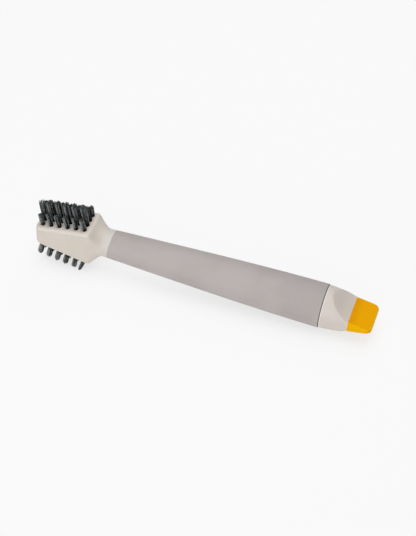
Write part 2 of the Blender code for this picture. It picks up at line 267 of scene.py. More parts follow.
# %% One material and its nodes
class Finish:
    def __init__(self, name):
        self.material = bpy.data.materials.new(name)
        self.material.use_nodes = True
        self.tree = self.material.node_tree
        self.shader = self.tree.nodes["Principled BSDF"]

    def feed(self, socket, value):
        if isinstance(value, Signal):
            self.tree.links.new(value.socket, socket)
        else:
            socket.default_value = value

    def node(self, kind, settings=None, inputs=None, output=0):
        made = self.tree.nodes.new(kind)
        for name, value in (settings or {}).items():
            setattr(made, name, value)
        for name, value in (inputs or {}).items():
            self.feed(made.inputs[name], value)
        return Signal(self, made.outputs[output])

    def along_brush(self):
        """Object coordinates turned back to the brush's own axis."""
        here = self.node("ShaderNodeTexCoord", output="Object")
        laid = {"Vector": here, "Location": REST_PLACE, "Rotation": (0.0, REST_TILT, 0.0)}
        return self.node("ShaderNodeMapping", {"vector_type": "TEXTURE"}, laid)

    def noise(self, place, scale, detail=2.0, rough=0.5):
        inputs = {"Vector": place, "Scale": scale, "Detail": detail, "Roughness": rough}
        return self.node("ShaderNodeTexNoise", None, inputs, "Fac")

    def parts_of(self, place):
        """The x, y and z of a place or a direction."""
        split = self.node("ShaderNodeSeparateXYZ", None, {0: place})
        return [Signal(self, socket) for socket in split.socket.node.outputs]

    def fade(self, value, low, high):
        """0 below low and 1 above high, with a soft passage between them."""
        inputs = {"Value": value, "From Min": low, "From Max": high}
        return self.node("ShaderNodeMapRange", {"interpolation_type": "SMOOTHSTEP"}, inputs)

    def mix(self, share, first, second):
        """Two colours by share. The Mix node takes them on its inputs 6 and 7 and gives output 2."""
        inputs = {0: share, 6: first, 7: second}
        return self.node("ShaderNodeMix", {"data_type": "RGBA"}, inputs, 2)

    def paint(self, colour, roughness, height, depth, **constants):
        """Colour and roughness may vary over the surface; the constants are the same all over."""
        grain = {"Height": height, "Distance": depth, "Strength": 1.0}
        bump = self.node("ShaderNodeBump", None, grain, "Normal")
        self.feed(self.shader.inputs["Base Color"], colour)
        self.feed(self.shader.inputs["Roughness"], roughness)
        self.feed(self.shader.inputs["Normal"], bump)
        for name, value in constants.items():
            self.shader.inputs[name.replace("_", " ")].default_value = value
        print(self.material.name, "has", len(self.tree.nodes), "nodes")
        return self.material


def linear(red, green, blue):
    """The shader works with linear light, and a colour picker shows the curve of a screen."""
    parts = [value / 255 for value in (red, green, blue)]
    return (*[p / 12.92 if p <= 0.04045 else ((p + 0.055) / 1.055) ** 2.4 for p in parts], 1.0)


# %% [markdown]
# ## The ivory plastic
# Head, neck and cap are injection moulded in a warm off-white. Such a surface comes from a spark-eroded
# mould: a fine even grain, a satin gloss and hardly any variation, apart from slow clouds where the melt
# cooled differently. A fine noise drives the bump, and a slow one moves the colour and gloss a little.
# Each piece then adds shades of its own. The plastic lets a little light through, and that light is painted
# in:
# the head's upper face is painted paler, and a painted highlight runs along the long rims of that face,
# where light comes in from two sides. Beside the grip a painted grey reflection of the grip darkens it.

# %% Ivory plastic
def ivory_plastic(name, light, deep, shades):
    finish = Finish(name)
    place = finish.along_brush()
    grain = finish.noise(place, 3800.0, 2.0, 0.6)
    cloud = finish.noise(place, 70.0, 3.0)
    speck = finish.noise(place, 900.0, 2.0)
    body = finish.mix(finish.fade(cloud * 0.8 + speck * 0.2, 0.35, 0.65), deep, light)
    roughness = 0.42 + cloud * 0.10 + grain * 0.04
    colour = shades(finish, place, body)
    return finish.paint(colour, roughness, grain, depth=0.000012, Specular_IOR_Level=0.34)


def head_shades(finish, place, body):
    x, y, z = finish.parts_of(place)
    below = half_height(x) - z
    # Painted light: the upper face is painted paler, and the rim mask adds a painted highlight along its
    # long rims.
    face = 1 - finish.fade(below, 0.0001, 0.0006)
    rim = finish.fade(abs(y), HEAD_WIDTH / 2 - 0.0012, HEAD_WIDTH / 2 - 0.0004)
    rim = rim * finish.fade(below, 0.0003, 0.0011) * (1 - finish.fade(below, 0.0012, 0.0024))
    # Painted reflection: beside the grip the neck is painted a darker grey, for the grip's reflection.
    painted_grip_reflection = 1 - finish.fade(abs(x), 0.0015, 0.0065)
    colour = finish.mix(face * 0.5 + rim * 0.6, body, linear(227, 220, 211))
    return finish.mix(painted_grip_reflection, colour, linear(209, 204, 198))


IVORY = ivory_plastic("ivory_plastic_head", linear(217, 208, 198), linear(213, 204, 193), head_shades)

# %% [markdown]
# ## The head, shoulder and neck
# The head is a wedge-shaped block that is thin at its toe. Behind it the section turns from a rounded
# rectangle into a circle, and that round neck runs on inside the grip as its core. A box with bevels
# can't make this turn, so the piece is a loft: each ring starts as a circle, its points are pulled onto
# the section at that place, and bridging joins ring to ring. The fillets are rings too, close together.
# The shoulder leaves both faces over a rounded edge and then runs down to the neck in a long hollow.

# %% Sections of the head
SIDE_POINTS = 9
CORNER_POINTS = 12
FACE_POINTS = 9
RING_POINTS = 4 * (SIDE_POINTS + CORNER_POINTS + FACE_POINTS)


def rounded_section(half_width, half_thickness, corner, crown=0.0):
    """Points (y, z) round a rectangle with round corners, whose sides may bulge by a crown."""
    quarter = []
    for z in steps(0.0, half_thickness - corner, SIDE_POINTS)[:-1]:
        quarter.append((half_width - crown * (z / half_thickness) ** 2, z))
    edge = half_width - crown * ((half_thickness - corner) / half_thickness) ** 2
    for turn in steps(0.0, math.pi / 2, CORNER_POINTS)[:-1]:
        y = edge - corner + corner * math.cos(turn)
        quarter.append((y, half_thickness - corner + corner * math.sin(turn)))
    for y in steps(edge - corner, 0.0, FACE_POINTS)[:-1]:
        quarter.append((y, half_thickness))
    upper = quarter + [(0.0, half_thickness)] + [(-y, z) for y, z in reversed(quarter)]
    return upper + [(y, -z) for y, z in reversed(upper[1:-1])]


def round_section(radius):
    """As many points as a rounded section has, spread evenly round a circle."""
    angles = [math.tau * step / RING_POINTS for step in range(RING_POINTS)]
    return [(radius * math.cos(angle), radius * math.sin(angle)) for angle in angles]


def slanted(x, z):
    """The neck seam leans, and the lean fades out on both sides of it."""
    return x + math.tan(SEAM_SLANT) * z * max(0.0, 1 - abs(x) / SEAM_FADE)


print("points in a ring:", RING_POINTS)

# %% A loft from circles pulled onto their sections
def loft(stations):
    """Bridge one ring of points to the next, for pairs of x and section, and close both ends."""
    shape = bmesh.new()
    rings = []
    for x, section in stations:
        points = bmesh.ops.create_circle(shape, segments=len(section), radius=1.0)["verts"]
        for point, (y, z) in zip(points, section):
            point.co = (slanted(x, z), y, z)
        rings.append(list(dict.fromkeys(edge for point in points for edge in point.link_edges)))
    for first, second in zip(rings, rings[1:]):
        bmesh.ops.bridge_loops(shape, edges=first + second)
    bmesh.ops.edgeloop_fill(shape, edges=rings[0])
    bmesh.ops.edgeloop_fill(shape, edges=rings[-1])
    return shape


def edge_loss(distance, radius):
    """How far a rounded edge has dropped at this distance from the end face."""
    reach = max(0.0, radius - distance)
    return radius - math.sqrt(radius * radius - reach * reach)


# %% From the faces down to the neck
HEEL_FLAT = 0.05
HEEL_ROUND = 0.24


def falling_share(share):
    """How far a face has come down to the neck, as a share: a rounded edge, then a long hollow."""
    share = max(0.0, (share - HEEL_FLAT) / (1 - HEEL_FLAT))
    if share < HEEL_ROUND:
        return share * share / HEEL_ROUND
    return 1 - (1 - share) ** 2 / (1 - HEEL_ROUND)


print("halfway down the shoulder a face has fallen by", round(falling_share(0.5), 2), "of its way")

# %% Rings of the head, the shoulder and the core
NECK_GAP = 0.00003
CORE_START = 0.0005
CORE_END_GAP = 0.0160
TOE_RINGS = 16
FACE_RINGS = 8
SHOULDER_RINGS = 40
CORE_RINGS = 10


def head_stations():
    """Pairs of x and section: the toe, the block, the shoulder, the neck and the core."""
    stations = []
    for turn in steps(0.0, math.pi / 2, TOE_RINGS):
        distance = HEAD_TOE_CORNER_RADIUS * (1 - math.cos(turn))
        narrowing = HEAD_TOE_CORNER_RADIUS * (1 - math.sin(turn))
        height = half_height(TOE_X + distance) - edge_loss(distance, HEAD_EDGE_RADIUS)
        section = rounded_section(HEAD_WIDTH / 2 - narrowing, height, HEAD_EDGE_RADIUS)
        stations.append((TOE_X + distance, section))
    for x in steps(TOE_X + HEAD_TOE_CORNER_RADIUS, SHOULDER_X, FACE_RINGS)[1:-1]:
        stations.append((x, rounded_section(HEAD_WIDTH / 2, half_height(x), HEAD_EDGE_RADIUS)))
    for x in steps(SHOULDER_X, -NECK_LENGTH, SHOULDER_RINGS):
        share = (x - SHOULDER_X) / SHOULDER_LENGTH
        fallen = falling_share(share)
        narrowed = share * share * (3 - 2 * share)
        block = rounded_section(HEAD_WIDTH / 2, half_height(x), HEAD_EDGE_RADIUS)
        section = [
            (y + (round_y - y) * narrowed, z + (round_z - z) * fallen)
            for (y, z), (round_y, round_z) in zip(block, round_section(NECK_RADIUS))
        ]
        stations.append((x, section))
    stations.append((-NECK_GAP, round_section(NECK_RADIUS)))
    for x in steps(CORE_START, GRIP_LENGTH - CORE_END_GAP, CORE_RINGS):
        stations.append((x, round_section(grip_radius(x) - GRIP_WALL - FIT)))
    return stations


print("rings from toe to core:", len(head_stations()))

# %% Where the tufts stand
def tuft_places(side, side_margin):
    """Row, column and place of each tuft, on the upper face for side 1 and the lower for -1."""
    first_x = TOE_X + TUFT_TOE_MARGIN
    last_x = SHOULDER_X - TUFT_HEEL_MARGIN
    edge_y = HEAD_WIDTH / 2 - side_margin
    for row, y in enumerate(steps(-edge_y, edge_y, TUFT_ROWS - 1)):
        for column, x in enumerate(steps(first_x, last_x, TUFT_COLUMNS - 1)):
            yield row, column, Vector((x, y, side * half_height(x)))


def tuft_frame(place, side):
    """The matrix of a tuft's own frame, whose z points straight out of its face."""
    turn = -FACE_ANGLE if side > 0 else math.pi + FACE_ANGLE
    return Matrix.Translation(place) @ Matrix.Rotation(turn, 4, "Y")


# %% [markdown]
# The bristles sit in blind holes that are drilled square to both faces. A Boolean cuts them into the
# finished block, as the drill does. The result is read back as a plain mesh, so nothing is left live.

# %% A cut with a drill
def drilled(shape, drill):
    """The shape without what the drill takes away, as a new bmesh."""
    body = bpy.data.objects.new("block", bpy.data.meshes.new("block"))
    tool = bpy.data.objects.new("drill", bpy.data.meshes.new("drill"))
    for thing, source in ((body, shape), (tool, drill)):
        bmesh.ops.recalc_face_normals(source, faces=source.faces)
        source.to_mesh(thing.data)
        source.free()
        bpy.context.scene.collection.objects.link(thing)
    cut = body.modifiers.new("holes", "BOOLEAN")
    cut.operation = "DIFFERENCE"
    cut.solver = "EXACT"
    cut.object = tool
    bpy.context.view_layer.update()
    seen = body.evaluated_get(bpy.context.evaluated_depsgraph_get())
    result = bmesh.new()
    result.from_mesh(seen.to_mesh())
    for thing in (body, tool):
        mesh = thing.data
        bpy.data.objects.remove(thing)
        bpy.data.meshes.remove(mesh)
    return result


# %% Drill the block
DRILL_OVERRUN = 0.0010
DRILL_SIDES = 20
drill = bmesh.new()
for side, margin in ((1, UPPER_SIDE_MARGIN), (-1, LOWER_SIDE_MARGIN)):
    for *_, place in tuft_places(side, margin):
        middle = Matrix.Translation((0.0, 0.0, DRILL_OVERRUN / 2 - HOLE_DEPTH / 2))
        bmesh.ops.create_cone(
            drill, cap_ends=True, segments=DRILL_SIDES, radius1=HOLE_RADIUS, radius2=HOLE_RADIUS,
            depth=HOLE_DEPTH + DRILL_OVERRUN, matrix=tuft_frame(place, side) @ middle,
        )
block = drilled(loft(head_stations()), drill)
head = finish_piece("ivory_head_and_neck", block, IVORY, ["head_and_core"])
compare_box(head, "head_and_core")
print("head faces:", len(head.data.polygons))

# %% [markdown]
# ## The soft grip
# The sleeve is a thermoplastic rubber in warm grey. It feels dry: almost no mirror gloss, a fine matt
# grain, and a faint sheen where the surface turns away. Skin oils and the mould leave slow patches that
# are a little lighter or duller, and dust settles as paler specks. The gap at its rear end is painted
# brown, as painted shade.

# %% Soft grip material
# The colour of the painted shade in the gap between grip and cap.
PAINTED_GAP_SHADE = linear(96, 62, 40)


def soft_rubber():
    finish = Finish("grey_soft_rubber")
    place = finish.along_brush()
    grain = finish.noise(place, 2600.0, 3.0, 0.65)
    cloud = finish.noise(place, 42.0, 4.0)
    speck = finish.noise(place, 700.0, 2.0)
    tone = finish.mix(finish.fade(cloud, 0.35, 0.65), linear(176, 169, 167), linear(183, 176, 174))
    colour = finish.mix(finish.fade(speck, 0.62, 0.80) * 0.30, tone, linear(196, 189, 187))
    # Painted shade: the gap at the rear end of the grip is painted brown.
    gap = finish.fade(finish.parts_of(place)[0], GRIP_LENGTH - GRIP_RIM, GRIP_LENGTH)
    colour = finish.mix(gap * 0.6, colour, PAINTED_GAP_SHADE)
    roughness = 0.60 + cloud * 0.12 + grain * 0.06
    return finish.paint(
        colour, roughness, grain, depth=0.000020, Specular_IOR_Level=0.26, Sheen_Weight=0.04,
    )


RUBBER = soft_rubber()

# %% [markdown]
# The sleeve is a turned part, so its wall is drawn once, as a closed outline beside the axis, and spun
# round it. Its rear rim is rounded, which gives the dark line where cap and grip meet, together with
# painted shade in the gap. Its front seam leans by six degrees: that is done after the spin, by sliding
# each point along the axis.

# %% Outlines that are spun
RIM_STEPS = 5


def turned(outline, closed, around):
    """Spin an outline of pairs of x and radius round the brush's axis."""
    shape = bmesh.new()
    points = [shape.verts.new((x, 0.0, radius)) for x, radius in outline]
    pairs = list(zip(points, points[1:])) + ([(points[-1], points[0])] if closed else [])
    edges = [shape.edges.new(pair) for pair in pairs]
    bmesh.ops.spin(
        shape, geom=points + edges, cent=(0, 0, 0), axis=(1, 0, 0), angle=math.tau, steps=around,
        use_merge=True,
    )
    bmesh.ops.remove_doubles(shape, verts=shape.verts, dist=MERGE)
    return shape


def rounded_rim(x, radius, round_radius):
    """Outline points round an outer rim that looks towards +x."""
    return [
        (x + round_radius * (math.cos(turn) - 1), radius + round_radius * (math.sin(turn) - 1))
        for turn in steps(math.pi / 2, 0.0, RIM_STEPS)
    ]


# %% Spin the sleeve
FRONT_RIM = (0.00008, 0.00006)
OUTER_STEPS = 60
BORE_STEPS = 30
GRIP_SIDES = 120
outer = [(x, grip_radius(x)) for x in steps(0.0, GRIP_LENGTH - 2 * GRIP_RIM, OUTER_STEPS)]
rim = rounded_rim(GRIP_LENGTH, grip_radius(GRIP_LENGTH - GRIP_RIM), GRIP_RIM)
bore = [(x, grip_radius(x) - GRIP_WALL) for x in reversed(steps(0.0, GRIP_LENGTH, BORE_STEPS))]
front_rim = [(0.0, GRIP_FRONT_RADIUS - FRONT_RIM[1]), (FRONT_RIM[0], GRIP_FRONT_RADIUS)]
sleeve = turned(front_rim + outer[1:] + rim + bore, closed=True, around=GRIP_SIDES)
for point in sleeve.verts:
    point.co.x = slanted(point.co.x, point.co.z)
grip = finish_piece("grey_grip_sleeve", sleeve, RUBBER, ["soft_grip"])
compare_box(grip, "soft_grip")

# %% [markdown]
# ## The end cap
# The cap is the same ivory plastic, turned to the line of the grip, with two flats that run down to the
# scraper. A cutter would leave a knife edge where each flat begins. The real mould has a small radius
# there, and it catches the light as a pale line. So the body is spun first, and then every point that
# lies above a flat is pressed down to it: the smaller of two radii, blended where they are nearly equal.
# Its front rim and its lip carry painted highlights, and the lower part of the flats is painted paler, as
# painted light. A flat is told from the round body by its normal, which leans towards the scraper. The gap
# before its front rim is painted brown, as painted shade.

# %% Ivory of the cap
def cap_shades(finish, place, body):
    x = finish.parts_of(place)[0]
    leaning = finish.parts_of(finish.node("ShaderNodeTexCoord", output="Normal"))[0]
    # Painted light: the flats are painted paler towards the lip.
    painted_flat_light = finish.fade(leaning, 0.30, 0.55) * finish.fade(x, CAP_X + CAP_LENGTH / 2, LIP_X)
    # Painted highlight on the front rim of the cap.
    front = finish.fade(x, CAP_X - 0.0001, CAP_X + 0.0001)
    front = front * (1 - finish.fade(x, CAP_X + 0.0004, CAP_X + 0.0009))
    # Painted highlight on the lip.
    painted_lip_highlight = finish.fade(x, LIP_X - 0.0008, LIP_X - 0.0002)
    # Painted shade in the gap before the front rim.
    gap = 1 - finish.fade(x, CAP_X - 0.0001, CAP_X)
    colour = finish.mix(painted_flat_light * 0.7, body, linear(229, 220, 209))
    colour = finish.mix(front.larger(painted_lip_highlight) * 0.7, colour, linear(228, 224, 220))
    return finish.mix(gap * 0.6, colour, PAINTED_GAP_SHADE)


IVORY_CAP = ivory_plastic("ivory_plastic_cap", linear(216, 208, 200), linear(213, 204, 196), cap_shades)

# %% Where the flats lie
CROWN_X = CAP_X + FACET_SETBACK
FLAT_FALL = (cap_radius(CROWN_X) - CAP_LIP_HEIGHT / 2) / (LIP_X - CROWN_X)
FLAT_CROWN = 12.0
FLAT_BLEND = 0.00055


def flat_reach(x, y_share, z_share):
    """How far from the axis a flat lies in one direction. It bulges a little from side to side."""
    height = CAP_LIP_HEIGHT / 2 + FLAT_FALL * (LIP_X - x)
    bulge = FLAT_CROWN * (LIP_X - x) / (LIP_X - CROWN_X) * y_share * y_share
    return 2 * height / (z_share + math.sqrt(z_share * z_share + 4 * bulge * height))


def soft_smaller(first, second, blend):
    """The smaller of two lengths, with a rounded passage where they cross."""
    share = min(max(0.5 + (second - first) / (2 * blend), 0.0), 1.0)
    return second + (first - second) * share - blend * share * (1 - share)


print("flats fall at", round(math.degrees(math.atan(FLAT_FALL)), 1), "degrees")

# %% The outline of the cap
CAP_REACH_FORWARD = 0.00012
CAP_START = CAP_X - CAP_REACH_FORWARD
CAP_RIM = 0.00022
SPIGOT_LENGTH = 0.0150
SPIGOT_RADIUS = 0.0080
CAP_STEPS = 76
front = [
    (CAP_START + CAP_RIM * (1 - math.cos(turn)), CAP_FRONT_RADIUS - CAP_RIM * (1 - math.sin(turn)))
    for turn in steps(0.0, math.pi / 2, RIM_STEPS)
]
spigot_x = CAP_X - SPIGOT_LENGTH
outline = [(spigot_x, 0.0), (spigot_x, SPIGOT_RADIUS), (CAP_START, SPIGOT_RADIUS)] + front
outline += [(x, cap_radius(x)) for x in steps(CAP_X + 2 * FIT, LIP_X, CAP_STEPS)]
outline.append((LIP_X, 0.0))
print("points in the outline of the cap:", len(outline))

# %% Spin the cap and press its flats
CAP_SIDES = 240
CAP_SHARP = math.radians(50)
SIDE_LINE = 0.0001
cap_shape = turned(outline, closed=False, around=CAP_SIDES)
for point in cap_shape.verts:
    x, y, z = point.co
    radius = math.hypot(y, z)
    if x > CAP_X and abs(z) > SIDE_LINE:
        reach = flat_reach(x, y / radius, abs(z) / radius)
        share = soft_smaller(radius, reach, FLAT_BLEND) / radius
        point.co = (x, y * share, z * share)
cap = finish_piece("ivory_end_cap", cap_shape, IVORY_CAP, ["end_cap"], CAP_SHARP)
compare_box(cap, "end_cap")
print("cap faces:", len(cap.data.polygons))

# %% [markdown]
# ## The scraper
# The scraper is a slightly translucent yellow plastic, harder and glossier than the grip. Where it is
# thin, at its rim and its side, light passes through and it looks more lemon than orange. True
# translucency would be slow and would leave the exported colours, so the shader measures how far a
# point is from the edge, and mixes the two yellows by that.

# %% Yellow plastic
def yellow_plastic():
    finish = Finish("yellow_scraper_plastic")
    place = finish.along_brush()
    x, y = finish.parts_of(place)[:2]
    grain = finish.noise(place, 3200.0, 2.0)
    cloud = finish.noise(place, 160.0, 3.0)
    scratch = finish.node("ShaderNodeMapping", None, {"Vector": place, "Scale": (260.0, 4200.0, 260.0)})
    scratch = finish.fade(finish.noise(scratch, 1.0, 2.0), 0.66, 0.74)
    inset = (BLADE_TIP_WIDTH / 2 - abs(y)).smaller(TIP_X - x)
    rim = 1 - finish.fade(inset, 0.0001, 0.0012)
    end = 1 - finish.fade(TIP_X - x, 0.0001, 0.0009)
    thin = finish.fade(x + cloud * 0.002, BLADE_X, BLADE_X + 0.0075)
    body = finish.mix(thin, linear(232, 157, 1), linear(247, 174, 1))
    colour = finish.mix(rim * 0.8, body, linear(243, 185, 2))
    colour = finish.mix(end * 0.7, colour, linear(255, 214, 40))
    roughness = 0.34 + cloud * 0.08 + scratch * 0.14
    relief = grain * 0.5 - scratch * 0.4
    return finish.paint(colour, roughness, relief, depth=0.000010, Specular_IOR_Level=0.02)


YELLOW = yellow_plastic()

# %% [markdown]
# Its shape is again a loft along the axis: the section is a rounded rectangle whose sides bulge like
# the cap it continues. It thins towards the tip, where it has sprung up by a fraction of a millimetre,
# and the last rings draw in for the round corners. The brush lies tipped, so a risen tip would also reach
# further along the table. It is drawn back by as much.

# %% Sections of the scraper
BLADE_RISE = 0.00035
BLADE_SPARE = 0.00001
BLADE_DRAWN_BACK = BLADE_RISE * math.sin(REST_TILT) + BLADE_SPARE
BLADE_EDGE_RADIUS = 0.0005
BLADE_TIP_EDGE_RADIUS = 0.0006


def blade_section(x, distance, narrowing):
    """Section at x, at a distance from the end of the tip, with both sides drawn in."""
    share = (x - BLADE_X) / BLADE_LENGTH
    half_width = (BLADE_ROOT_WIDTH + (BLADE_TIP_WIDTH - BLADE_ROOT_WIDTH) * share) / 2
    half_thickness = (CAP_LIP_HEIGHT + (BLADE_TIP_THICKNESS - CAP_LIP_HEIGHT) * share) / 2
    crown = half_width - math.sqrt(half_width * half_width - half_thickness * half_thickness)
    half_thickness -= edge_loss(distance, BLADE_TIP_EDGE_RADIUS)
    corner = min(BLADE_EDGE_RADIUS, half_thickness / 2)
    section = rounded_section(half_width - narrowing, half_thickness, corner, crown)
    return [(y, z + BLADE_RISE * share) for y, z in section]


print("tip drawn back by", round(1000 * BLADE_DRAWN_BACK, 3), "mm")

# %% Loft the scraper
BLADE_SINK = 0.0010
BLADE_SINK_NARROWING = 0.0006
BLADE_REACH_FORWARD = 0.0001
BLADE_RINGS = 8
TIP_RINGS = 16
stations = [(LIP_X - BLADE_SINK, blade_section(BLADE_X, BLADE_LENGTH, BLADE_SINK_NARROWING))]
for x in steps(BLADE_X - BLADE_REACH_FORWARD, TIP_X - BLADE_CORNER_RADIUS, BLADE_RINGS)[:-1]:
    stations.append((x, blade_section(x, BLADE_LENGTH, 0.0)))
for turn in steps(math.pi / 2, 0.0, TIP_RINGS):
    distance = BLADE_CORNER_RADIUS * (1 - math.cos(turn))
    narrowing = BLADE_CORNER_RADIUS * (1 - math.sin(turn))
    x = TIP_X - BLADE_DRAWN_BACK - distance
    stations.append((x, blade_section(x, distance, narrowing)))
blade = finish_piece("yellow_scraper", loft(stations), YELLOW, ["scraper_blade"])
compare_box(blade, "scraper_blade")

# %% [markdown]
# ## Bristles
# Each hole holds a bundle of nylon filaments, folded over an anchor and trimmed after filling. They are
# satin, from charcoal to grey, with painted streaks of light along them, painted shade at the root where
# light doesn't reach, and a little paler at the cut ends. A filament's tone, which holds painted light and
# shade as well as a random part, and the height along it are stored on the mesh, so that one material
# can vary them.

# %% Nylon material
def nylon():
    finish = Finish("charcoal_nylon")
    place = finish.node("ShaderNodeTexCoord", output="Object")
    tone = finish.node("ShaderNodeAttribute", {"attribute_name": "filament_tone"}, output="Fac")
    height = finish.node("ShaderNodeAttribute", {"attribute_name": "filament_height"}, output="Fac")
    fleck = finish.noise(place, 2400.0, 2.0)
    glint = finish.noise(place, 1500.0, 1.0)
    # The pale streaks are painted glints and the painted light of each filament's tone, with its random
    # part.
    streak = finish.fade(tone + glint * 0.9, 0.64, 1.10)
    body = finish.mix(streak, linear(5, 5, 4), linear(143, 147, 148))
    # Painted shade at the root.
    root = finish.mix(finish.fade(height, 0.0, 0.50), linear(5, 5, 5), body)
    colour = finish.mix(finish.fade(height, 0.94, 1.0) * 0.3, root, linear(112, 116, 116))
    roughness = 0.36 + fleck * 0.16
    return finish.paint(colour, roughness, fleck, depth=0.000006, Specular_IOR_Level=0.04)


NYLON = nylon()

# %% [markdown]
# A filament starts as a small pentagon deep in its hole. All pentagons of a tuft are extruded together,
# ring after ring, and each ring is pushed to its place on that filament's path: straight in the hole,
# then outwards, soonest near the hole's mouth, with a slight bend of its own. Filaments cling together in
# locks: the ones that share a lock lean to the same point, and dark gaps open between the locks. Alternate
# locks are painted lighter and darker, as painted highlights and painted shade, and the filaments in the
# middle of a tuft get painted shade. The side of a tuft that faces the toe is painted a little paler, as
# painted light. The last ring of a filament is smaller, because a trimmed end is rounded. Five sides, and
# five rings from the mouth of the hole to the tip, are enough for it.

# %% Where the filaments of a tuft go
FILAMENTS = 38
FILAMENT_RADIUS = 0.00017
FILAMENT_SIDES = 5
PACK_RADIUS = 0.00107
LOCKS = 8
LOCK_PULL = 0.30
LOCK_TONES = (0.20, 0.95)
LOCK_WEIGHT = 0.30
PAINTED_LIT_SIDE_WEIGHT = 0.55
OWN_WEIGHT = 0.40
PAINTED_LIT_SIDE_GAIN = 1.3
FLARE = 0.028
TUFT_DRIFT = 0.00012
FILAMENT_STRAY = 0.00007
FILAMENT_BEND = 0.00008
TRIM_SHARE = 0.035
GOLDEN_ANGLE = math.pi * (3 - math.sqrt(5))


def sideways(draw, spread):
    """A random step across the tuft."""
    return Vector((draw.gauss(0.0, spread), draw.gauss(0.0, spread), 0.0))


def filament_paths(draw, length, lean, splay, dome, toe, painted_light_share):
    """For each filament its root, reach, sideways swing, bend and tone."""
    turn = draw.uniform(0.0, math.tau)
    drift = sideways(draw, 1.0) * TUFT_DRIFT
    # Painted highlights and painted shade: alternate locks get a light and a dark tone, with a random part.
    tones = [LOCK_TONES[lock % 2] + draw.uniform(-0.2, 0.2) for lock in range(LOCKS)]
    paths = []
    for index in range(FILAMENTS):
        angle = (index * GOLDEN_ANGLE) % math.tau
        share = math.sqrt((index + 0.5) / FILAMENTS)
        lock = int(angle / math.tau * LOCKS)
        middle = (lock + 0.5) * math.tau / LOCKS
        own = Vector((math.cos(angle + turn), math.sin(angle + turn), 0.0)) * share
        shared = Vector((math.cos(middle + turn), math.sin(middle + turn), 0.0)) * share
        root = own * PACK_RADIUS
        tip = own.lerp(shared, LOCK_PULL) * (PACK_RADIUS + splay * length)
        reach = length * (1 - dome * share * share + draw.uniform(-TRIM_SHARE, TRIM_SHARE))
        stray = sideways(draw, FILAMENT_STRAY)
        bend = sideways(draw, FILAMENT_BEND) + own * FLARE * length
        # Painted light: filaments on the toe side of a tuft are painted paler.
        painted_lit_side = PAINTED_LIT_SIDE_GAIN * (0.5 + 0.5 * own.x * toe) ** 2
        # Painted shade: the share makes the filaments in the middle of a tuft darker.
        outside = (LOCK_WEIGHT * tones[lock] + PAINTED_LIT_SIDE_WEIGHT * painted_lit_side) * share
        # The last factor darkens a whole tuft, as painted shade.
        tone = painted_light_share * (outside + OWN_WEIGHT * draw.random())
        paths.append((root, reach, tip - root + drift + lean + stray, bend, tone))
    return paths


# %% Grow one tuft
RING_SHARES = (0.0, 0.35, 0.70, 0.97, 1.0)
ROOT_DEPTH = 0.0020
TIP_NARROWING = 0.6


def grow_tuft(draw, paths):
    """One bmesh with all filaments of a tuft, which stands upright on the origin."""
    tuft = bmesh.new()
    number = tuft.faces.layers.int.new("filament")
    tone = tuft.verts.layers.float.new("filament_tone")
    height = tuft.verts.layers.float.new("filament_height")
    for index, (root, *_) in enumerate(paths):
        turn = Matrix.Rotation(draw.uniform(0.0, math.tau), 4, "Z")
        stand = Matrix.Translation(root - Vector((0.0, 0.0, ROOT_DEPTH))) @ turn
        points = bmesh.ops.create_circle(
            tuft, cap_ends=True, segments=FILAMENT_SIDES, radius=FILAMENT_RADIUS, matrix=stand,
        )
        for face in points["verts"][0].link_faces:
            face[number] = index
    grown = bmesh.ops.extrude_face_region(tuft, geom=tuft.faces[:])["geom"]
    tops = [item for item in grown if isinstance(item, bmesh.types.BMFace)]
    for ring, share in enumerate(RING_SHARES):
        if ring:
            tops = bmesh.ops.extrude_discrete_faces(tuft, faces=tops)["faces"]
        for top in tops:
            root, reach, swing, bend, shade = paths[top[number]]
            middle = top.calc_center_median()
            bow = 4 * share * (1 - share)
            centre = root + swing * share + bend * bow + Vector((0.0, 0.0, reach * share))
            narrow = TIP_NARROWING if share == 1.0 else 1.0
            for point in top.verts:
                point.co = centre + (point.co - middle) * narrow
                point[tone] = shade
                point[height] = share
    return tuft


# %% [markdown]
# The upper face is trimmed in steps, with its longest row second from the front, and the lower face is
# one even height. The last tufts of the lower face carry the brush, so they lean, spread away from the
# middle and end flat on the table.

# %% How each tuft has grown
FRONT_ROW_LEAN = -0.0003
TOE_COLUMN_LEAN = 0.0004
PRESSED_LEAN = REST_LEAN * 0.8
PRESSED_SPREAD = 0.15
# The lower tufts are painted a little darker than the upper ones by the last value of each manner, as
# painted shade under the head.
UPPER_MANNER = {"splay": 0.060, "dome": 0.02, "toe": -1, "painted_light_share": 1.0}
LOWER_MANNER = {"splay": 0.050, "dome": 0.04, "toe": 1, "painted_light_share": 0.95}
PRESSED_MANNER = {"splay": -0.030, "dome": 0.02, "toe": 1, "painted_light_share": 0.95}


def growth(side, row, column, place):
    """The length, lean and manner of the tuft at one place."""
    if side > 0:
        lean = (FRONT_ROW_LEAN if row == 0 else 0.0) + (TOE_COLUMN_LEAN if column == 0 else 0.0)
        return UPPER_ROW_LENGTHS[row], Vector((lean, 0.0, 0.0)), UPPER_MANNER
    if column < TUFT_COLUMNS - 1:
        return LOWER_LENGTH, Vector(), LOWER_MANNER
    return LOWER_LENGTH, Vector((PRESSED_LEAN, PRESSED_SPREAD * place.y, 0.0)), PRESSED_MANNER


print("lengths of the upper rows, mm:", [round(1000 * length, 1) for length in UPPER_ROW_LENGTHS])

# %% Plant the 48 tufts
TABLE_SKIN = 0.00002
TUFT_SHARP = math.radians(60)


